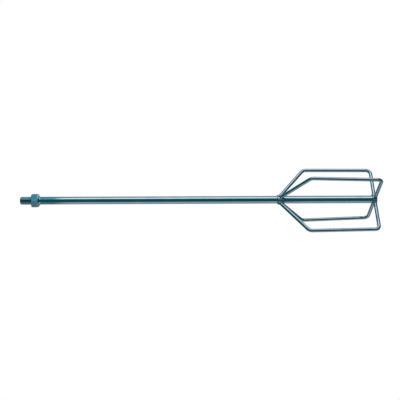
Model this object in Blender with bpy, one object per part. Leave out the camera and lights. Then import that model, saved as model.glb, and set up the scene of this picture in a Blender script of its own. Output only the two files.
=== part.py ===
"""Mortar mixing paddle: a threaded drive shaft that carries an open cage of four bent rods.

The paddle stands on its cage. +Z runs up the shaft to the threaded drive end, and the origin is
the centre of the cage end, where the shaft's end face and the four end bars are flush. The rods
lie in the XZ and YZ planes. All lengths are in metres and all angles in degrees.
"""
import math

import bmesh
import bpy
from mathutils import Matrix, Vector

# Shaft and its M14 x 2 drive thread
OVERALL_LENGTH = 0.600
SHAFT_RADIUS = 0.0065
SHAFT_END_CHAMFER = 0.0005
STUD_LENGTH = 0.019
THREAD_CREST_RADIUS = 0.007
THREAD_ROOT_RADIUS = 0.0058
THREAD_PITCH = 0.002
THREAD_CREST_WIDTH = THREAD_PITCH / 8
THREAD_ROOT_WIDTH = THREAD_PITCH / 4
THREAD_BURIED_DEPTH = 0.0004
STUD_TIP_RADIUS = 0.0042
STUD_TIP_LENGTH = 0.003

# M14 nut, pulled up on the thread and welded to the shaft
NUT_ACROSS_FLATS = 0.021
NUT_THICKNESS = 0.0128
NUT_TURN = -10.0
NUT_CHAMFER_ANGLE = 30.0
NUT_SEAT_RADIUS = 0.0098
NUT_BACK_RADIUS = 0.0086
NUT_WELD_LENGTH = 0.0048
NUT_WELD_HEIGHT = 0.0024
NUT_WELD_TOE = 0.0003
NUT_WELD_HOLLOW = 0.25

# Cage of four rods
ROD_COUNT = 4
ROD_NAMES = ("cage_rod_east", "cage_rod_north", "cage_rod_west", "cage_rod_south")
ROD_RADIUS = 0.003
CAGE_RADIUS_TOP = 0.0616
CAGE_RADIUS_END = 0.0591
UPPER_BEND_HEIGHT = 0.1192
DIAGONAL_ANGLE = 51.0
UPPER_BEND_RADIUS = 0.012
LOWER_BEND_RADIUS = 0.0075
BEND_STEP = 9.0

# Weld beads at the rods' two ends: half sizes along radius, tangent and shaft
UPPER_WELD_HALF = (0.0048, 0.0052, 0.0074)
UPPER_WELD_OFFSET = 0.0069
UPPER_WELD_DROP = 0.0015
LOWER_WELD_HALF = (0.0042, 0.0050, 0.0070)
LOWER_WELD_OFFSET = 0.0086
LOWER_WELD_HEIGHT = 0.0040

# Space left between pieces that touch, and how far cutters reach past what they cut
GAP = 0.0003
CUT_MARGIN = 0.001
CUTTER_DEPTH = 0.020

SHAFT_SIDES = 24
NUT_SIDES = 48
NUT_WELD_STEPS = 6
ROD_BEVEL_RESOLUTION = 4
WELD_SEGMENTS = 16
SMOOTH_ANGLE = 35.0

NUT_TOP = OVERALL_LENGTH - STUD_LENGTH
NUT_BOTTOM = NUT_TOP - NUT_THICKNESS
END_BAR_HEIGHT = ROD_RADIUS

ZINC_BLUE = (0.23, 0.38, 0.44)
ROD_ZINC = (0.27, 0.40, 0.45)
WELD_ZINC = (0.30, 0.38, 0.42)


def clear_scene():
    """Remove every object that the file opened with."""
    for item in list(bpy.data.objects):
        bpy.data.objects.remove(item, do_unlink=True)


def plated_steel(name, colour, roughness):
    """Zinc-plated, blue-passivated steel."""
    material = bpy.data.materials.new(name)
    material.use_nodes = True
    shader = material.node_tree.nodes["Principled BSDF"]
    shader.inputs["Base Color"].default_value = (*colour, 1.0)
    shader.inputs["Metallic"].default_value = 1.0
    shader.inputs["Roughness"].default_value = roughness
    return material


def add_object(name, shape, material=None):
    """Turn a bmesh into a named object, shaded smooth except at its sharp edges."""
    bmesh.ops.recalc_face_normals(shape, faces=shape.faces)
    mesh = bpy.data.meshes.new(name)
    shape.to_mesh(mesh)
    shape.free()
    mesh.shade_smooth()
    mesh.set_sharp_from_angle(angle=math.radians(SMOOTH_ANGLE))
    if material:
        mesh.materials.append(material)
    item = bpy.data.objects.new(name, mesh)
    bpy.context.scene.collection.objects.link(item)
    return item


def cutter(name, shape):
    """A helper solid that only shapes its neighbours and is never part of the paddle."""
    item = add_object(name, shape)
    item.hide_render = True
    item.display_type = "WIRE"
    return item


def combine(target, tool, operation):
    """Add a Boolean modifier that joins, cuts or trims the target with the tool."""
    modifier = target.modifiers.new(f"{operation.lower()}_{tool.name}", "BOOLEAN")
    modifier.operation = operation
    modifier.solver = "EXACT"
    modifier.object = tool


def settle(item):
    """Replace an object's mesh by its evaluated one, so that its new edges can be shaded."""
    graph = bpy.context.evaluated_depsgraph_get()
    mesh = bpy.data.meshes.new_from_object(item.evaluated_get(graph))
    item.modifiers.clear()
    item.data = mesh
    mesh.shade_smooth()
    mesh.set_sharp_from_angle(angle=math.radians(SMOOTH_ANGLE))
    return item


def turned(profile, sides):
    """Solid of revolution about Z from (radius, height) points that start and end on the axis."""
    shape = bmesh.new()
    points = [shape.verts.new((radius, 0.0, height)) for radius, height in profile]
    edges = [shape.edges.new(pair) for pair in zip(points, points[1:])]
    bmesh.ops.spin(shape, geom=points + edges, cent=(0, 0, 0), axis=(0, 0, 1),
                   angle=math.tau, steps=sides, use_merge=True)
    bmesh.ops.remove_doubles(shape, verts=shape.verts, dist=1e-7)
    return shape


def turned_ring(profile, sides):
    """Ring about Z from a closed loop of (radius, height) points."""
    shape = bmesh.new()
    points = [shape.verts.new((radius, 0.0, height)) for radius, height in profile]
    edges = [shape.edges.new(pair) for pair in zip(points, points[1:] + points[:1])]
    bmesh.ops.spin(shape, geom=points + edges, cent=(0, 0, 0), axis=(0, 0, 1),
                   angle=math.tau, steps=sides, use_merge=True)
    bmesh.ops.remove_doubles(shape, verts=shape.verts, dist=1e-7)
    return shape


def helical_ridge():
    """The thread's single helical ridge, from inside the nut to past the stud's tip."""
    half_crest = THREAD_CREST_WIDTH / 2
    half_root = (THREAD_PITCH - THREAD_ROOT_WIDTH) / 2
    flank = (half_root - half_crest) / (THREAD_CREST_RADIUS - THREAD_ROOT_RADIUS)
    base_radius = THREAD_ROOT_RADIUS - THREAD_BURIED_DEPTH
    half_base = half_crest + flank * (THREAD_CREST_RADIUS - base_radius)
    section = ((base_radius, -half_base), (THREAD_CREST_RADIUS, -half_crest),
               (THREAD_CREST_RADIUS, half_crest), (base_radius, half_base))
    start = NUT_TOP - THREAD_PITCH
    turns = (STUD_LENGTH + 2 * THREAD_PITCH) / THREAD_PITCH

    shape = bmesh.new()
    previous = None
    for step in range(round(turns * SHAFT_SIDES) + 1):
        angle = math.tau * (step + 0.5) / SHAFT_SIDES
        centre = start + THREAD_PITCH * step / SHAFT_SIDES
        ring = [shape.verts.new((radius * math.cos(angle), radius * math.sin(angle), centre + rise))
                for radius, rise in section]
        if previous is None:
            shape.faces.new(ring)
        else:
            for side in range(len(section)):
                after = (side + 1) % len(section)
                shape.faces.new((previous[side], previous[after], ring[after], ring[side]))
        previous = ring
    shape.faces.new(previous[::-1])
    return shape


def make_shaft(material):
    """Round bar with a chamfered foot and a threaded stud: core plus ridge, trimmed to outline."""
    clear_radius = THREAD_CREST_RADIUS + CUT_MARGIN
    tip_slope = STUD_TIP_LENGTH / (THREAD_CREST_RADIUS - STUD_TIP_RADIUS)
    core_top = OVERALL_LENGTH + CUT_MARGIN
    core_radius = SHAFT_RADIUS + CUT_MARGIN
    core = turned(((0, -CUT_MARGIN), (core_radius, -CUT_MARGIN), (core_radius, NUT_TOP),
                   (THREAD_ROOT_RADIUS, NUT_TOP), (THREAD_ROOT_RADIUS, core_top), (0, core_top)), SHAFT_SIDES)
    outline = turned(((0, 0), (SHAFT_RADIUS - SHAFT_END_CHAMFER, 0), (SHAFT_RADIUS, SHAFT_END_CHAMFER),
                      (SHAFT_RADIUS, NUT_TOP + GAP), (clear_radius, NUT_TOP + GAP),
                      (clear_radius, OVERALL_LENGTH - STUD_TIP_LENGTH - CUT_MARGIN * tip_slope),
                      (STUD_TIP_RADIUS, OVERALL_LENGTH), (0, OVERALL_LENGTH)), SHAFT_SIDES)
    shaft = add_object("shaft", core, material)
    combine(shaft, cutter("thread_ridge", helical_ridge()), "UNION")
    combine(shaft, cutter("shaft_outline", outline), "INTERSECT")
    return settle(shaft)


def make_nut(material):
    """Hexagon trimmed by a chamfer cone at each end, with a plain bore over the shaft."""
    corner_radius = NUT_ACROSS_FLATS / 2 / math.cos(math.radians(30))
    reach = corner_radius + CUT_MARGIN
    slope = math.tan(math.radians(NUT_CHAMFER_ANGLE))
    chamfers = turned(((0, NUT_BOTTOM), (NUT_BACK_RADIUS, NUT_BOTTOM),
                       (reach, NUT_BOTTOM + (reach - NUT_BACK_RADIUS) * slope),
                       (reach, NUT_TOP - (reach - NUT_SEAT_RADIUS) * slope),
                       (NUT_SEAT_RADIUS, NUT_TOP), (0, NUT_TOP)), NUT_SIDES)
    nut = add_object("hex_nut", chamfers, material)

    prism = bmesh.new()
    corners = []
    for side in range(6):
        angle = math.radians(NUT_TURN + 60 * side)
        corners.append(prism.verts.new((corner_radius * math.cos(angle), corner_radius * math.sin(angle),
                                        NUT_BOTTOM - NUT_THICKNESS)))
    lower_face = prism.faces.new(corners)
    raised = bmesh.ops.extrude_face_region(prism, geom=[lower_face], use_keep_orig=True)["geom"]
    raised_corners = [item for item in raised if isinstance(item, bmesh.types.BMVert)]
    bmesh.ops.translate(prism, verts=raised_corners, vec=(0, 0, 3 * NUT_THICKNESS))
    combine(nut, cutter("nut_hexagon", prism), "INTERSECT")

    bore = turned(((0, NUT_BOTTOM - NUT_THICKNESS), (SHAFT_RADIUS + GAP, NUT_BOTTOM - NUT_THICKNESS),
                   (SHAFT_RADIUS + GAP, NUT_TOP + NUT_THICKNESS), (0, NUT_TOP + NUT_THICKNESS)),
                  SHAFT_SIDES)
    combine(nut, cutter("nut_bore", bore), "DIFFERENCE")
    return settle(nut)


def make_nut_weld(material):
    """Fillet ring that joins the nut's back face to the shaft, with a slightly hollow face."""
    top = NUT_BOTTOM - GAP
    inner = SHAFT_RADIUS + GAP
    profile = [(inner, top), (inner, top - NUT_WELD_LENGTH)]
    for step in range(NUT_WELD_STEPS + 1):
        share = step / NUT_WELD_STEPS
        hollow = NUT_WELD_HOLLOW * NUT_WELD_HEIGHT * math.sin(math.pi * share)
        edge = NUT_WELD_TOE + (NUT_WELD_HEIGHT - NUT_WELD_TOE) * share
        profile.append((inner + edge - hollow, top - NUT_WELD_LENGTH * (1 - share)))
    return add_object("nut_weld", turned_ring(profile, SHAFT_SIDES), material)


def bend(before, corner, after, radius):
    """Points of the arc that rounds a corner of the rod, in (radius, height) coordinates."""
    towards_before = (before - corner).normalized()
    towards_after = (after - corner).normalized()
    half_angle = towards_before.angle(towards_after) / 2
    centre = corner + (towards_before + towards_after).normalized() * (radius / math.sin(half_angle))
    start = corner + towards_before * (radius / math.tan(half_angle)) - centre
    sweep = math.pi - 2 * half_angle
    steps = math.ceil(math.degrees(sweep) / BEND_STEP)
    turn = math.copysign(sweep, start.cross(corner - centre))
    points = []
    for step in range(steps + 1):
        angle = turn * step / steps
        points.append(centre + Matrix.Rotation(angle, 2) @ start)
    return points


def rod_route(end_gap):
    """Centre line of a rod from its foot on the shaft, round the cage, to the shaft's end."""
    angle = math.radians(DIAGONAL_ANGLE)
    foot_radius = SHAFT_RADIUS + end_gap + ROD_RADIUS * math.cos(angle)
    foot_height = UPPER_BEND_HEIGHT + (CAGE_RADIUS_TOP - foot_radius) / math.tan(angle)
    foot = Vector((foot_radius, foot_height))
    shoulder = Vector((CAGE_RADIUS_TOP, UPPER_BEND_HEIGHT))
    corner = Vector((CAGE_RADIUS_END, END_BAR_HEIGHT))
    tip = Vector((SHAFT_RADIUS + end_gap, END_BAR_HEIGHT))
    return [foot, *bend(foot, shoulder, corner, UPPER_BEND_RADIUS),
            *bend(shoulder, corner, tip, LOWER_BEND_RADIUS), tip]


def rod_curve(name, route, radius):
    """Round rod of the given radius along a (radius, height) route, as a capped curve."""
    curve = bpy.data.curves.new(name, "CURVE")
    curve.dimensions = "3D"
    curve.bevel_depth = radius
    curve.bevel_resolution = ROD_BEVEL_RESOLUTION
    curve.use_fill_caps = True
    spline = curve.splines.new("POLY")
    spline.points.add(len(route) - 1)
    spline.use_smooth = True
    for point, place in zip(spline.points, route):
        point.co = (place.x, 0.0, place.y, 1.0)
    item = bpy.data.objects.new(name, curve)
    bpy.context.scene.collection.objects.link(item)
    return item


def rod_cutter():
    """Mesh of a rod that is larger by the gap all round, for cutting the weld beads."""
    guide = rod_curve("rod_guide", rod_route(0.0), ROD_RADIUS + GAP)
    graph = bpy.context.evaluated_depsgraph_get()
    shape = bmesh.new()
    shape.from_mesh(bpy.data.meshes.new_from_object(guide.evaluated_get(graph)))
    bpy.data.objects.remove(guide, do_unlink=True)
    bmesh.ops.remove_doubles(shape, verts=shape.verts, dist=1e-7)
    return cutter("rod_clearance", shape)


def shaft_cutter():
    """Plain cylinder that is larger than the shaft by the gap, and reaches below the cage end."""
    return cutter("shaft_clearance", turned(((0, -CUTTER_DEPTH), (SHAFT_RADIUS + GAP, -CUTTER_DEPTH),
                                             (SHAFT_RADIUS + GAP, NUT_BOTTOM), (0, NUT_BOTTOM)),
                                            SHAFT_SIDES))


def floor_cutter():
    """Block whose top is just above the plane that the paddle stands on."""
    shape = bmesh.new()
    bmesh.ops.create_cube(shape, size=2 * CUTTER_DEPTH)
    shape.transform(Matrix.Translation((0, 0, GAP - CUTTER_DEPTH)))
    return cutter("floor_clearance", shape)


def make_weld(name, centre, half_sizes, cutters, material):
    """Rounded bead around a rod's end, cut clear of the shaft and of the rod in the XZ plane."""
    shape = bmesh.new()
    bmesh.ops.create_uvsphere(shape, u_segments=WELD_SEGMENTS, v_segments=WELD_SEGMENTS // 2, radius=1.0)
    shape.transform(Matrix.Translation(centre) @ Matrix.Diagonal((*half_sizes, 1.0)))
    weld = add_object(name, shape, material)
    for tool in cutters:
        combine(weld, tool, "DIFFERENCE")
    return settle(weld)


def turned_copy(source, name, angle):
    """Another object on the same mesh, turned about the shaft from the XZ plane into its place."""
    item = bpy.data.objects.new(name, source.data)
    item.rotation_euler.z = angle
    bpy.context.scene.collection.objects.link(item)
    return item


def make_cage(rod_material, weld_material):
    """Four identical rods a quarter turn apart, each with a weld bead at both ends."""
    angle = math.radians(DIAGONAL_ANGLE)
    route = rod_route(GAP)
    foot_height = route[0].y + GAP / math.tan(angle)
    tools = [shaft_cutter(), rod_cutter(), floor_cutter()]
    upper = make_weld("upper_weld_pattern", (UPPER_WELD_OFFSET, 0, foot_height - UPPER_WELD_DROP),
                      UPPER_WELD_HALF, tools, weld_material)
    lower = make_weld("lower_weld_pattern", (LOWER_WELD_OFFSET, 0, LOWER_WELD_HEIGHT),
                      LOWER_WELD_HALF, tools, weld_material)

    for index in range(ROD_COUNT):
        turn = math.tau * index / ROD_COUNT
        name = ROD_NAMES[index]
        side = name.rsplit("_", 1)[1]
        rod = rod_curve(name, route, ROD_RADIUS)
        rod.rotation_euler.z = turn
        rod.data.materials.append(rod_material)
        turned_copy(upper, f"upper_weld_{side}", turn)
        turned_copy(lower, f"lower_weld_{side}", turn)
    for pattern in (upper, lower):
        bpy.data.objects.remove(pattern, do_unlink=True)


def main():
    clear_scene()
    shaft_metal = plated_steel("shaft_zinc", ZINC_BLUE, 0.25)
    nut_metal = plated_steel("nut_zinc", ZINC_BLUE, 0.32)
    rod_metal = plated_steel("rod_zinc", ROD_ZINC, 0.30)
    weld_metal = plated_steel("weld_zinc", WELD_ZINC, 0.40)
    make_shaft(shaft_metal)
    make_nut(nut_metal)
    make_nut_weld(weld_metal)
    make_cage(rod_metal, weld_metal)


main()
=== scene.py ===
"""Looks of the mortar mixing paddle: fine meshes and plated-steel materials around the CAD frame.

Every piece is rebuilt in its CAD node's place with the detail that the plain solid leaves out: a
turned thread, rounded nut edges, smooth bends and rippled weld beads. Lengths are in metres and
angles in degrees. The paddle stands on its cage, with +Z towards the drive end.
"""
import math

import bmesh
import bpy
from mathutils import Matrix, Vector, noise


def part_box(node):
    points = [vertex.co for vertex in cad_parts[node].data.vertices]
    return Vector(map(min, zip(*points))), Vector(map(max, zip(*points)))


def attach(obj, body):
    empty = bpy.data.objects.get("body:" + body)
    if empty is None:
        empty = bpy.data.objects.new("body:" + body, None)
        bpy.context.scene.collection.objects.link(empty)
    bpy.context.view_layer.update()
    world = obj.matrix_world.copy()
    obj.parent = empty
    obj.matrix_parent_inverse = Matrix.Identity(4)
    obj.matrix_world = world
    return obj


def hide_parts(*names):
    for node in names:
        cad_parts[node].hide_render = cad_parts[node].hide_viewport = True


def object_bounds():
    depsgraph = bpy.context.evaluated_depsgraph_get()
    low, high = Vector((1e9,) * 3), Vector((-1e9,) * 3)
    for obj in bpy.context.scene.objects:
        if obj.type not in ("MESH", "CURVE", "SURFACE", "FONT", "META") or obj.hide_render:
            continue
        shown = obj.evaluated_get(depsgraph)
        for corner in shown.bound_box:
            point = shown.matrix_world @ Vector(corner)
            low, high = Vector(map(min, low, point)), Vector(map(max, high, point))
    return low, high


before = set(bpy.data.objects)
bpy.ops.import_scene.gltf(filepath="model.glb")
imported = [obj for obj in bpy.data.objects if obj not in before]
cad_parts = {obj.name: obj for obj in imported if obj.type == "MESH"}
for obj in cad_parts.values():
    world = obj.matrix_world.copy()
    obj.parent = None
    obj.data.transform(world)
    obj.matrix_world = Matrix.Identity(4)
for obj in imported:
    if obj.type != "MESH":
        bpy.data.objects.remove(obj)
cad_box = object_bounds()

# Places of the drive end, taken from the frame
STUD_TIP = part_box("shaft")[1].z
NUT_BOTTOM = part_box("hex_nut")[0].z
NUT_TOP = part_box("hex_nut")[1].z

# Camera: the paddle lies across the picture with its drive end to the left
CAMERA_AZIMUTH = -33.8
CAMERA_ELEVATION = 1.38
CAMERA_EXTRA_ROLL = 0.235
CAMERA_DISTANCE = 1.30
CAMERA_LENS = 69.44
CAMERA_AIM_BELOW_CENTRE = 0.0011

# Shaft and thread
SHAFT_RADIUS = 0.0065
SHAFT_END_CHAMFER = 0.0005
SHAFT_SIDES = 96
THREAD_PITCH = 0.002
THREAD_CREST_RADIUS = 0.0069
THREAD_ROOT_RADIUS = 0.0058
THREAD_CREST_SHARE = 0.14
THREAD_ROOT_SHARE = 0.20
THREAD_ROWS = 24
STUD_TIP_RADIUS = 0.0036
STUD_TIP_LENGTH = 0.0036

# Nut
NUT_ACROSS_FLATS = 0.021
NUT_TURN = -10.0
NUT_CORNER_ROUND = 0.0005
NUT_EDGE_ROUND = 0.0003
NUT_EDGE_MIDDLE = 0.3
NUT_CHAMFER = 30.0
NUT_SEAT_RADIUS = 0.0101
NUT_BACK_RADIUS = 0.0086
NUT_BORE_RADIUS = 0.0066
NUT_COUNTERSINK_RADIUS = 0.0082
NUT_CORNER_POINTS = 7
NUT_FLAT_POINTS = 18

# Weld between the nut's back face and the shaft: its mean length on the shaft and height on the
# nut, and how far its lumps and ripples change them
NUT_WELD_LENGTH = 0.003612
NUT_WELD_LENGTH_LUMP = 0.00126
NUT_WELD_LENGTH_RIPPLE = 0.00021
NUT_WELD_HEIGHT = 0.001672
NUT_WELD_HEIGHT_LUMP = 0.000646
NUT_WELD_HEIGHT_RIPPLE = 0.000095
NUT_WELD_HOLLOW = 1.9
NUT_WELD_RIPPLES = 17
NUT_WELD_RIPPLE_SHIFT = 2.0
NUT_WELD_LUMP_SCALE = 2.3
NUT_WELD_LUMP_START = Vector((3.1, 0, 0))
NUT_WELD_SIDES = 144
NUT_WELD_STEPS = 14
WELD_OVERLAP = 0.0002

# Cage bars: the cage's radii run from the shaft's axis to the bars' centre lines, heights start at
# the cage end, and the diagonal's angle is the one it makes with the shaft
SIDES = ("east", "north", "west", "south")
BAR_RADIUS = 0.00297
BAR_SIDES = 40
CAGE_RADIUS_TOP = 0.0616
CAGE_RADIUS_END = 0.0591
UPPER_BEND_HEIGHT = 0.1192
DIAGONAL_ANGLE = 51.0
UPPER_BEND_RADIUS = 0.010
LOWER_BEND_RADIUS = 0.0075
BEND_STEP = 3.0
END_BAR_HEIGHT = 0.003
BAR_SEATING = 0.0006
BAR_TEXTURE_STEP = 0.05
# Bars bent and welded by hand don't stand quite true: how far each is swung round the shaft, at
# its upper bend and at the cage end
BAR_SWING = {"east": (1.0, -1.5), "north": (2.0, -1.0), "west": (0.0, -0.5), "south": (0.0, -1.5)}

# Weld beads: overlapping drops of weld metal, laid round the foot of each bar
BEAD_DROPS = 17
UPPER_DROP_RADIUS = 0.0014
LOWER_DROP_RADIUS = 0.0017
UPPER_BEAD_SAG = 0.2
DROP_VARIATION = 0.35
DROP_OFF_SHAFT = 0.35
DROP_OFF_BAR = 0.5
DROP_SUBDIVISIONS = 3
BEAD_VOXEL = 0.00028
BEAD_SMOOTHING = 3
BEAD_FLOOR = 0.0003
# Steps through the noise that varies the drops: for a turn round the bar, for a bar and for a level
BEAD_NOISE_TURN = 9.0
BEAD_NOISE_SIDE = 2.7
BEAD_NOISE_LEVEL = 5.3
BEAD_NOISE_START = 1.0
BEAD_GRAIN_HEIGHT = 0.00006
BEAD_GRAIN_COARSE = 900.0
BEAD_GRAIN_FINE = 2100.0

# Edges that turn by more than this angle are left sharp
SMOOTH_ANGLE = 32.0

# Zinc plate: scales count features per metre. Patches and streaks together set the film's thickness,
# which runs from thin to thick over the range below and decides its colour and roughness
STREAK_SCALE = 900.0
STREAK_STRETCH = 0.035
STREAK_SHARE = 0.25
STREAK_ROUGHNESS = 0.12
FILM_THIN = 0.36
FILM_THICK = 0.64
SPECK_SCALE = 2600.0
SPECK_START = 0.62
SPECK_FULL = 0.72
SPECK_SHARE = 0.35
SPECK_COLOUR = (0.62, 0.64, 0.68)
GRAIN_SCALE = 420.0
BUMP_DISTANCE = 0.00005
# Film dulled by the welding heat, which fades out along the bar and is uneven in patches
HEAT_LENGTH = 0.016
HEAT_SHARE = 0.55
HEAT_COLOUR = (0.33, 0.36, 0.42)
HEAT_ROUGHNESS = 0.10
HEAT_PATCH_START = 0.35
HEAT_PATCH_FULL = 0.6
HEAT_PATCH_LEAST = 0.5

# Studio: plain soft panels round the paddle, in a dim cool room. Their ends are heights along the
# paddle's axis. Some panels end at the split, and weaker ones past it light the drive end
PANEL_DISTANCE = 1.0
PANEL_LOW = -0.9
SOFTBOX_LOW = -0.38
PANEL_SPLIT = 0.697
PANEL_HIGH = 1.5
WARM_WHITE = (1.0, 0.95, 0.94)
COOL_WHITE = (0.85, 0.95, 1.0)
COOL = (0.2, 0.8, 1.0)
ROOM_COLOUR = (0.008, 0.11, 0.13)
FLOOR_RADIUS = 6.0
FLOOR_SIDES = 64


# Small helpers

def unit(angle):
    """Unit vector in the XY plane at an angle from +X."""
    return Vector((math.cos(math.radians(angle)), math.sin(math.radians(angle)), 0.0))


def smooth(low, high, value):
    """Smooth step from 0 at low to 1 at high."""
    share = min(max((value - low) / (high - low), 0.0), 1.0)
    return share * share * (3.0 - 2.0 * share)


# Camera and picture directions

TOWARDS_CAMERA = Matrix.Rotation(math.radians(CAMERA_AZIMUTH), 3, "Z") @ Vector(
    (0.0, -math.cos(math.radians(CAMERA_ELEVATION)), math.sin(math.radians(CAMERA_ELEVATION))))
PICTURE_UP = TOWARDS_CAMERA.cross(Vector((0, 0, -1))).normalized()


def make_camera():
    """Camera almost level with the paddle, rolled so that the drive end points left."""
    across = PICTURE_UP.cross(TOWARDS_CAMERA)
    turn = Matrix.Rotation(math.radians(-CAMERA_EXTRA_ROLL), 3, TOWARDS_CAMERA)
    axes = Matrix((turn @ across, turn @ PICTURE_UP, TOWARDS_CAMERA)).transposed()
    centre = (cad_box[0] + cad_box[1]) / 2
    aim = centre - Vector((0, 0, CAMERA_AIM_BELOW_CENTRE))
    camera = bpy.data.objects.new("camera", bpy.data.cameras.new("camera"))
    camera.data.lens = CAMERA_LENS
    camera.matrix_world = Matrix.Translation(aim + TOWARDS_CAMERA * CAMERA_DISTANCE) @ axes.to_4x4()
    bpy.context.scene.collection.objects.link(camera)
    bpy.context.scene.camera = camera


# Materials

class Graph:
    """Short calls for building a node tree."""

    def __init__(self, tree):
        self.tree = tree
        self.tree.nodes.clear()

    def node(self, kind, inputs=None, **settings):
        """One node; each input, by name or number, takes a value or a link from a socket."""
        made = self.tree.nodes.new(kind)
        for name, value in settings.items():
            setattr(made, name, value)
        for name, value in (inputs or {}).items():
            if isinstance(value, bpy.types.NodeSocket):
                self.tree.links.new(value, made.inputs[name])
            else:
                made.inputs[name].default_value = value
        return made

    def value(self, operation, *values):
        """One Math node; its inputs are sockets or numbers."""
        return self.node("ShaderNodeMath", dict(enumerate(values)), operation=operation).outputs[0]

    def ramp(self, factor, stops):
        """Colour ramp through (position, colour) stops."""
        made = self.node("ShaderNodeValToRGB", {0: factor})
        elements = made.color_ramp.elements
        while len(elements) < len(stops):
            elements.new(0.5)
        for element, (position, colour) in zip(elements, stops):
            element.position = position
            element.color = (*colour, 1.0)
        return made.outputs[0]

    def span(self, value, low, high, low_out=0.0, high_out=1.0, kind="SMOOTHSTEP"):
        """Value between low and high, mapped to between low_out and high_out."""
        made = self.node("ShaderNodeMapRange", {0: value, 1: low, 2: high, 3: low_out, 4: high_out},
                         interpolation_type=kind)
        return made.outputs[0]

    def mix(self, factor, base, colour):
        """Mix of a base colour's socket and one fixed colour."""
        made = self.node("ShaderNodeMix", {0: factor, 6: base, 7: (*colour, 1.0)}, data_type="RGBA")
        return made.outputs[2]

    def noise(self, place, scale, detail, roughness=0.55):
        """Noise texture at a place; scale counts features per metre."""
        made = self.node("ShaderNodeTexNoise", {"Vector": place, "Scale": scale, "Detail": detail,
                                                "Roughness": roughness})
        return made.outputs[0]

    def stretched(self, place, scale):
        """Coordinates scaled by three factors."""
        return self.node("ShaderNodeMapping", {"Vector": place, "Scale": scale}).outputs[0]


def zinc(name, tints, roughness, coarse, grain, lines=0.0, dull_ends=None):
    """Blue-passivated zinc plate on steel.

    tints are the film's colours from thin to thick, roughness its range, coarse the size of the
    patches in features per metre, grain the depth of the fine bumps, lines the depth of the
    drawing lines along the bar, and dull_ends the (start, end) places along the bar where the
    welding heat dulled it.
    """
    material = bpy.data.materials.new(name)
    material.use_nodes = True
    graph = Graph(material.node_tree)
    place = graph.node("ShaderNodeAttribute", attribute_name="along_bar").outputs["Vector"]

    patches = graph.noise(place, coarse, detail=4.0)
    drawn = graph.stretched(place, (1.0, 1.0, STREAK_STRETCH))
    streaks = graph.noise(drawn, STREAK_SCALE, detail=4.0, roughness=0.6)
    specks = graph.noise(place, SPECK_SCALE, detail=2.0)
    film = graph.value("ADD", graph.value("MULTIPLY", patches, 1.0 - STREAK_SHARE),
                       graph.value("MULTIPLY", streaks, STREAK_SHARE))
    step = (FILM_THICK - FILM_THIN) / (len(tints) - 1)
    colour = graph.ramp(film, [(FILM_THIN + step * index, tint) for index, tint in enumerate(tints)])
    speck = graph.span(specks, SPECK_START, SPECK_FULL)
    colour = graph.mix(graph.value("MULTIPLY", speck, SPECK_SHARE), colour, SPECK_COLOUR)

    rough = graph.span(film, FILM_THIN, FILM_THICK, *roughness, kind="LINEAR")
    streak_offset = graph.value("SUBTRACT", streaks, 0.5)
    rough = graph.value("ADD", rough, graph.value("MULTIPLY", streak_offset, STREAK_ROUGHNESS))
    if dull_ends:
        start, end = dull_ends
        distance = graph.node("ShaderNodeSeparateXYZ", {0: place}).outputs[2]
        near_start = graph.span(distance, start, start + HEAT_LENGTH, 1.0, 0.0)
        near_end = graph.span(distance, end - HEAT_LENGTH, end)
        patchy = graph.span(patches, HEAT_PATCH_START, HEAT_PATCH_FULL, HEAT_PATCH_LEAST, 1.0)
        heat = graph.value("MULTIPLY", graph.value("MAXIMUM", near_start, near_end), patchy)
        colour = graph.mix(graph.value("MULTIPLY", heat, HEAT_SHARE), colour, HEAT_COLOUR)
        rough = graph.value("ADD", rough, graph.value("MULTIPLY", heat, HEAT_ROUGHNESS))

    height = graph.value("MULTIPLY", graph.noise(place, GRAIN_SCALE, detail=3.0), grain)
    if lines:
        height = graph.value("ADD", height, graph.value("MULTIPLY", streaks, lines))
    bump = graph.node("ShaderNodeBump", {"Strength": 1.0, "Distance": BUMP_DISTANCE, "Height": height})
    shader = graph.node("ShaderNodeBsdfPrincipled", {"Base Color": colour, "Metallic": 1.0,
                                                     "Roughness": rough, "Normal": bump.outputs[0]})
    graph.node("ShaderNodeOutputMaterial", {"Surface": shader.outputs[0]})
    return material


# Mesh helpers

def skin(rings, capped=True):
    """Closed bmesh over rings of points: capped at both ends, or else joined last to first."""
    shape = bmesh.new()
    rows = [[shape.verts.new(point) for point in ring] for ring in rings]
    pairs = list(zip(rows, rows[1:]))
    if not capped:
        pairs.append((rows[-1], rows[0]))
    for lower, upper in pairs:
        for index in range(len(lower)):
            after = (index + 1) % len(lower)
            shape.faces.new((lower[index], lower[after], upper[after], upper[index]))
    if capped:
        shape.faces.new(rows[0][::-1])
        shape.faces.new(rows[-1])
    bmesh.ops.recalc_face_normals(shape, faces=shape.faces)
    return shape


def add_piece(name, shape, material, slot, *nodes, along=None):
    """Link a bmesh as a piece of the paddle that stands for the given CAD nodes.

    along gives each vertex's place on the straightened bar, which the material's texture follows.
    Without it the texture follows the vertices where they are.
    """
    mesh = bpy.data.meshes.new(name)
    shape.to_mesh(mesh)
    shape.free()
    mesh.shade_smooth()
    mesh.set_sharp_from_angle(angle=math.radians(SMOOTH_ANGLE))
    mesh.materials.append(material)
    places = along or [vertex.co.copy() for vertex in mesh.vertices]
    attribute = mesh.attributes.new("along_bar", "FLOAT_VECTOR", "POINT")
    attribute.data.foreach_set("vector", [part for place in places for part in place])
    piece = bpy.data.objects.new(name, mesh)
    bpy.context.scene.collection.objects.link(piece)
    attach(piece, "root")
    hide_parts(*nodes)


def ring_at(height, radius):
    """Ring of points about Z; radius is a number or a function of the angle's share of a turn."""
    points = []
    for index in range(SHAFT_SIDES):
        share = index / SHAFT_SIDES
        reach = radius(share) if callable(radius) else radius
        points.append(unit(360 * share) * reach + Vector((0, 0, height)))
    return points


# Shaft

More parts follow.
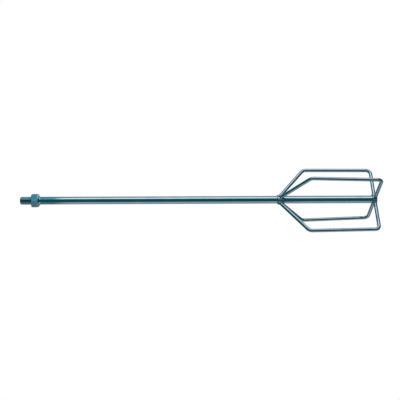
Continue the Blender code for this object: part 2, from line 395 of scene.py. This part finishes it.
def thread_radius(height, share):
    """Radius of the right-handed thread at a height and a share of a turn.

    Its flanks are half way between straight ones and ones that round off into crest and root.
    """
    phase = (height / THREAD_PITCH - share) % 1.0
    from_crest = abs(phase - 0.5) * 2.0
    rounded = smooth(THREAD_CREST_SHARE, 1.0 - THREAD_ROOT_SHARE, from_crest)
    straight = (from_crest - THREAD_CREST_SHARE) / (1.0 - THREAD_ROOT_SHARE - THREAD_CREST_SHARE)
    depth = 0.5 * (rounded + min(max(straight, 0.0), 1.0))
    return THREAD_CREST_RADIUS + (THREAD_ROOT_RADIUS - THREAD_CREST_RADIUS) * depth


def make_shaft(material):
    """Drawn bar with a chamfered foot and the drive thread turned on its upper end."""
    rings = [ring_at(0.0, SHAFT_RADIUS - SHAFT_END_CHAMFER), ring_at(SHAFT_END_CHAMFER, SHAFT_RADIUS)]
    thread_start = NUT_TOP - THREAD_PITCH
    rings += [ring_at(0.5 * thread_start, SHAFT_RADIUS), ring_at(thread_start, SHAFT_RADIUS)]
    rows = round((STUD_TIP - thread_start) / THREAD_PITCH * THREAD_ROWS)
    for row in range(1, rows + 1):
        height = thread_start + (STUD_TIP - thread_start) * row / rows
        from_tip = min((STUD_TIP - height) / STUD_TIP_LENGTH, 1.0)
        rounding = math.sqrt(1.0 - (1.0 - from_tip) ** 2)
        tip_radius = STUD_TIP_RADIUS + (THREAD_CREST_RADIUS - STUD_TIP_RADIUS) * rounding
        rings.append(ring_at(height, lambda share: min(thread_radius(height, share), tip_radius)))
    add_piece("drive_shaft", skin(rings), material, "shaft_zinc", "shaft")


# Nut

def hexagon_points():
    """Outline of the nut: six flats with rounded corners."""
    corner_distance = (NUT_ACROSS_FLATS / 2 - NUT_CORNER_ROUND) / math.cos(math.radians(30))
    corners = []
    for side in range(6):
        middle = NUT_TURN + 60 * side
        for step in range(NUT_CORNER_POINTS):
            angle = middle - 30 + 60 * step / (NUT_CORNER_POINTS - 1)
            corners.append(unit(middle) * corner_distance + unit(angle) * NUT_CORNER_ROUND)
    points = []
    for index, point in enumerate(corners):
        points.append(point)
        if index % NUT_CORNER_POINTS == NUT_CORNER_POINTS - 1:
            following = corners[(index + 1) % len(corners)]
            steps = range(1, NUT_FLAT_POINTS)
            points += [point.lerp(following, step / NUT_FLAT_POINTS) for step in steps]
    return points


def nut_profile(reach, face_radius, face_height, inward):
    """(radius, height) points of one end of the nut, from its bore to its side.

    inward is +1 or -1, the way from the face into the nut. The last point keeps the side flat
    right up to its rounded edge.
    """
    slope = math.tan(math.radians(NUT_CHAMFER))
    edge_height = face_height + inward * (reach - face_radius) * slope
    on_cone = Vector((-1.0, -inward * slope)).normalized()
    on_side = Vector((0.0, inward))
    edge = Vector((reach, edge_height))
    sink = NUT_COUNTERSINK_RADIUS - NUT_BORE_RADIUS
    return [Vector((NUT_BORE_RADIUS, face_height + inward * sink)),
            Vector((NUT_COUNTERSINK_RADIUS, face_height)),
            Vector((face_radius - NUT_EDGE_ROUND, face_height)),
            Vector((face_radius + NUT_EDGE_ROUND, face_height + inward * NUT_EDGE_ROUND * slope)),
            edge + on_cone * NUT_EDGE_ROUND,
            edge + (on_cone + on_side) * NUT_EDGE_MIDDLE * NUT_EDGE_ROUND,
            edge + on_side * NUT_EDGE_ROUND,
            edge + on_side * 2 * NUT_EDGE_ROUND]


def make_nut(material):
    """Hexagon nut with coned ends, softened edges and a countersunk bore."""
    loops = []
    for point in hexagon_points():
        outward = point.normalized()
        profile = nut_profile(point.length, NUT_SEAT_RADIUS, NUT_TOP, -1)
        profile += nut_profile(point.length, NUT_BACK_RADIUS, NUT_BOTTOM, 1)[::-1]
        loops.append([outward * place.x + Vector((0, 0, place.y)) for place in profile])
    add_piece("hexagon_nut", skin(loops, capped=False), material, "nut_zinc", "hex_nut")


def make_nut_weld(material):
    """Fillet between the nut's back face and the shaft, with the lumps of a hand-laid bead."""
    inner = SHAFT_RADIUS - WELD_OVERLAP
    top = NUT_BOTTOM + WELD_OVERLAP
    loops = []
    for index in range(NUT_WELD_SIDES):
        turn = index / NUT_WELD_SIDES
        outward = unit(360 * turn)
        lump = noise.noise(outward * NUT_WELD_LUMP_SCALE + NUT_WELD_LUMP_START)
        ripple = math.sin(math.tau * turn * NUT_WELD_RIPPLES + NUT_WELD_RIPPLE_SHIFT * lump)
        length = NUT_WELD_LENGTH + NUT_WELD_LENGTH_LUMP * lump + NUT_WELD_LENGTH_RIPPLE * ripple
        height = NUT_WELD_HEIGHT + NUT_WELD_HEIGHT_LUMP * lump + NUT_WELD_HEIGHT_RIPPLE * ripple
        loop = [outward * inner + Vector((0, 0, top)), outward * inner + Vector((0, 0, top - length))]
        for step in range(1, NUT_WELD_STEPS + 1):
            share = step / NUT_WELD_STEPS
            radius = inner + height * share ** NUT_WELD_HOLLOW
            loop.append(outward * radius + Vector((0, 0, top - length * (1 - share))))
        loops.append(loop)
    add_piece("nut_fillet", skin(loops, capped=False), material, "weld_zinc", "nut_weld")


# Cage bars

def bend(before, corner, after, radius):
    """Points of the arc that rounds a corner of the bar, in (radius, height) coordinates."""
    towards_before = (before - corner).normalized()
    towards_after = (after - corner).normalized()
    half_angle = towards_before.angle(towards_after) / 2
    centre = corner + (towards_before + towards_after).normalized() * (radius / math.sin(half_angle))
    start = corner + towards_before * (radius / math.tan(half_angle)) - centre
    sweep = math.pi - 2 * half_angle
    steps = math.ceil(math.degrees(sweep) / BEND_STEP)
    turn = math.copysign(sweep, start.cross(corner - centre))
    return [centre + Matrix.Rotation(turn * step / steps, 2) @ start for step in range(steps + 1)]


def bar_route():
    """Centre line of a bar, from its foot on the shaft round the cage to the shaft's end."""
    angle = math.radians(DIAGONAL_ANGLE)
    foot_radius = SHAFT_RADIUS - BAR_SEATING + BAR_RADIUS * math.cos(angle)
    foot = Vector((foot_radius, UPPER_BEND_HEIGHT + (CAGE_RADIUS_TOP - foot_radius) / math.tan(angle)))
    shoulder = Vector((CAGE_RADIUS_TOP, UPPER_BEND_HEIGHT))
    corner = Vector((CAGE_RADIUS_END, END_BAR_HEIGHT))
    tip = Vector((SHAFT_RADIUS - BAR_SEATING, END_BAR_HEIGHT))
    return [foot, *bend(foot, shoulder, corner, UPPER_BEND_RADIUS),
            *bend(shoulder, corner, tip, LOWER_BEND_RADIUS), tip]


def bar_turn(side, height):
    """Rotation about the shaft that brings a bar from the XZ plane to its place at a height."""
    at_bend, at_end = BAR_SWING[side]
    foot_height = bar_route()[0].y
    if height > UPPER_BEND_HEIGHT:
        swing = at_bend * (foot_height - height) / (foot_height - UPPER_BEND_HEIGHT)
    else:
        share = (height - END_BAR_HEIGHT) / (UPPER_BEND_HEIGHT - END_BAR_HEIGHT)
        swing = at_end + (at_bend - at_end) * share
    return Matrix.Rotation(math.radians(90 * SIDES.index(side) + swing), 3, "Z")


def make_bar(side, index, material):
    """One bent bar of the cage, with its place along the bar kept for the texture."""
    route = bar_route()
    rings = []
    along = []
    distance = 0.0
    for number, place in enumerate(route):
        before = route[max(number - 1, 0)]
        after = route[min(number + 1, len(route) - 1)]
        heading = (after - before).normalized()
        sideways = Vector((-heading.y, heading.x))
        distance += (place - before).length
        turn = bar_turn(side, place.y)
        ring = []
        for step in range(BAR_SIDES):
            angle = math.tau * step / BAR_SIDES
            in_plane = BAR_RADIUS * math.cos(angle)
            across = BAR_RADIUS * math.sin(angle)
            flat = place + sideways * in_plane
            ring.append(turn @ Vector((flat.x, across, flat.y)))
            along.append(Vector((in_plane + BAR_TEXTURE_STEP * index, across, distance)))
        rings.append(ring)
    add_piece(f"cage_bar_{side}", skin(rings), material, "rod_zinc", f"cage_rod_{side}", along=along)


# Weld beads

def drops_to_bead(drops):
    """One closed skin round overlapping drops, each a (centre, radius) pair, with softened joins."""
    shape = bmesh.new()
    for centre, radius in drops:
        made = bmesh.ops.create_icosphere(shape, subdivisions=DROP_SUBDIVISIONS, radius=radius)
        bmesh.ops.translate(shape, verts=made["verts"], vec=centre)
    mesh = bpy.data.meshes.new("drops")
    shape.to_mesh(mesh)
    shape.free()
    holder = bpy.data.objects.new("drops", mesh)
    bpy.context.scene.collection.objects.link(holder)
    remesh = holder.modifiers.new("fuse", "REMESH")
    remesh.mode = "VOXEL"
    remesh.voxel_size = BEAD_VOXEL
    soften = holder.modifiers.new("soften", "SMOOTH")
    soften.iterations = BEAD_SMOOTHING
    evaluated = holder.evaluated_get(bpy.context.evaluated_depsgraph_get())
    fused = bpy.data.meshes.new_from_object(evaluated)
    bead = bmesh.new()
    bead.from_mesh(fused)
    bpy.data.objects.remove(holder, do_unlink=True)
    return bead


def foot_seam(route_end, heading, share):
    """Point of the seam between a bar's foot and the shaft, at a share of the way round the bar."""
    sideways = Vector((-heading.y, heading.x))
    angle = math.tau * share
    tangent = BAR_RADIUS * math.sin(angle)
    on_bar = route_end + sideways * (BAR_RADIUS * math.cos(angle))
    radius = math.sqrt(SHAFT_RADIUS ** 2 - tangent ** 2)
    height = on_bar.y + (radius - on_bar.x) / heading.x * heading.y
    return Vector((radius, tangent, height))


def make_bead(side, index, level, route_end, heading, drop_radius, material):
    """Bead of overlapping drops round one foot of a bar; level is 1 for its upper foot, or else 0.

    An upper bead is thicker on the bar's underside, which is where the drops start.
    """
    drops = []
    for number in range(BEAD_DROPS):
        share = number / BEAD_DROPS
        seam = foot_seam(route_end, heading, share)
        variation = noise.noise(Vector((share * BEAD_NOISE_TURN, index * BEAD_NOISE_SIDE,
                                        level * BEAD_NOISE_LEVEL + BEAD_NOISE_START)))
        sag = UPPER_BEAD_SAG * level * math.cos(math.tau * share)
        size = drop_radius * (1.0 + DROP_VARIATION * variation + sag)
        off_shaft = Vector((DROP_OFF_SHAFT * size, 0, 0))
        off_bar = (seam - Vector((seam.x, 0, route_end.y))).normalized() * DROP_OFF_BAR * size
        drops.append((seam + off_shaft + off_bar, size))
    bead = drops_to_bead(drops)
    for vertex in bead.verts:
        coarse = noise.noise(vertex.co * BEAD_GRAIN_COARSE)
        fine = noise.noise(vertex.co * BEAD_GRAIN_FINE)
        vertex.co += vertex.normal * BEAD_GRAIN_HEIGHT * (coarse + 0.5 * fine)
        vertex.co.z = max(vertex.co.z, BEAD_FLOOR)
    bead.transform(bar_turn(side, route_end.y).to_4x4())
    name = ("lower", "upper")[level]
    add_piece(f"{name}_bead_{side}", bead, material, "weld_zinc", f"{name}_weld_{side}")


def make_cage(bar_material, bead_material):
    """Four bars a quarter turn apart, each with a bead at both feet."""
    route = bar_route()
    feet = ((1, route[0], route[1], UPPER_DROP_RADIUS), (0, route[-1], route[-2], LOWER_DROP_RADIUS))
    for index, side in enumerate(SIDES):
        make_bar(side, index, bar_material)
        for level, foot, before_foot, drop_radius in feet:
            heading = (foot - before_foot).normalized()
            make_bead(side, index, level, foot, heading, drop_radius, bead_material)


# Light and floor

def add_panel(name, angle, arc, low, high, brightness, colour):
    """Upright soft panel of one colour, on the ring round the paddle.

    angle runs from the picture's up, 0, over the camera side, 90, to down, 180; arc is how much of
    the ring the panel fills, and low and high are its ends along the paddle.
    """
    upward = Vector((0, 0, 1))
    outward = (PICTURE_UP * math.cos(math.radians(angle))
               + PICTURE_UP.cross(upward) * math.sin(math.radians(angle)))
    facing = Matrix((upward.cross(outward), upward, outward)).transposed()
    lamp = bpy.data.lights.new(name, "AREA")
    lamp.shape = "RECTANGLE"
    lamp.size = 2 * PANEL_DISTANCE * math.tan(math.radians(arc / 2))
    lamp.size_y = high - low
    lamp.energy = brightness * math.pi * lamp.size * lamp.size_y
    lamp.color = colour
    panel = bpy.data.objects.new(name, lamp)
    place = outward * PANEL_DISTANCE + upward * (low + high) / 2
    panel.matrix_world = Matrix.Translation(place) @ facing.to_4x4()
    panel.visible_camera = False
    bpy.context.scene.collection.objects.link(panel)


def make_lights():
    """Softbox above, cool panels beside it and pale cards below, with weaker ones past the split."""
    add_panel("softbox", 25, 38, SOFTBOX_LOW, PANEL_SPLIT, 1.4, WARM_WHITE)
    add_panel("cool_edge", 53, 18, SOFTBOX_LOW, PANEL_SPLIT, 0.26, COOL)
    add_panel("back_panel", -48, 84, PANEL_LOW, PANEL_SPLIT, 0.46, COOL_WHITE)
    add_panel("low_card", 176, 70, PANEL_LOW, PANEL_SPLIT, 0.46, WARM_WHITE)
    add_panel("low_back_card", -120, 60, PANEL_LOW, PANEL_SPLIT, 0.17, WARM_WHITE)
    add_panel("drive_end_top", 26, 66, PANEL_SPLIT, PANEL_HIGH, 0.38, COOL)
    add_panel("drive_end_back", -42, 66, PANEL_SPLIT, PANEL_HIGH, 0.36, COOL)
    add_panel("drive_end_card", 176, 70, PANEL_SPLIT, PANEL_HIGH, 0.16, WARM_WHITE)


def make_background():
    """White behind the paddle, which the metal sees as a dim, cool room."""
    world = bpy.data.worlds.new("background")
    bpy.context.scene.world = world
    world.use_nodes = True
    graph = Graph(world.node_tree)
    room = graph.node("ShaderNodeBackground", {"Color": (*ROOM_COLOUR, 1.0), "Strength": 1.0})
    seen = graph.node("ShaderNodeBackground", {"Color": (1, 1, 1, 1), "Strength": 1.0})
    is_camera_ray = graph.node("ShaderNodeLightPath").outputs["Is Camera Ray"]
    both = graph.node("ShaderNodeMixShader", {0: is_camera_ray, 1: room.outputs[0], 2: seen.outputs[0]})
    graph.node("ShaderNodeOutputWorld", {"Surface": both.outputs[0]})


def make_floor():
    """Plain white floor, which glows evenly, lights nothing and isn't mirrored by the metal."""
    shape = bmesh.new()
    bmesh.ops.create_circle(shape, cap_ends=True, segments=FLOOR_SIDES, radius=FLOOR_RADIUS)
    mesh = bpy.data.meshes.new("floor")
    shape.to_mesh(mesh)
    shape.free()
    material = bpy.data.materials.new("floor_white")
    material.use_nodes = True
    graph = Graph(material.node_tree)
    glow = graph.node("ShaderNodeEmission", {"Color": (1, 1, 1, 1), "Strength": 1.0})
    graph.node("ShaderNodeOutputMaterial", {"Surface": glow.outputs[0]})
    mesh.materials.append(material)
    floor = bpy.data.objects.new("floor", mesh)
    floor.visible_glossy = False
    floor.visible_diffuse = False
    floor.visible_shadow = False
    bpy.context.scene.collection.objects.link(floor)


def make_materials():
    """The four finishes of the paddle."""
    bar_length = sum((after - before).length for before, after in zip(bar_route(), bar_route()[1:]))
    return {
        "shaft": zinc("shaft_zinc", ((0.38, 0.50, 0.57), (0.46, 0.52, 0.59), (0.54, 0.54, 0.61)),
                      roughness=(0.06, 0.12), coarse=45.0, grain=0.10, lines=0.10),
        "nut": zinc("nut_zinc", ((0.36, 0.49, 0.56), (0.44, 0.51, 0.58), (0.51, 0.52, 0.60)),
                    roughness=(0.09, 0.15), coarse=160.0, grain=0.18),
        "bar": zinc("bar_zinc", ((0.34, 0.46, 0.52), (0.42, 0.48, 0.54), (0.50, 0.50, 0.57)),
                    roughness=(0.08, 0.16), coarse=60.0, grain=0.14, lines=0.12,
                    dull_ends=(0.0, bar_length)),
        "bead": zinc("bead_zinc", ((0.30, 0.44, 0.50), (0.42, 0.47, 0.54), (0.52, 0.52, 0.60)),
                     roughness=(0.12, 0.26), coarse=380.0, grain=0.6),
    }


finish = make_materials()
make_camera()
make_lights()
make_background()
make_floor()
make_shaft(finish["shaft"])
make_nut(finish["nut"])
make_nut_weld(finish["bead"])
make_cage(finish["bar"], finish["bead"])

bpy.context.scene.view_settings.view_transform = "Standard"
bpy.context.scene.view_settings.look = "None"
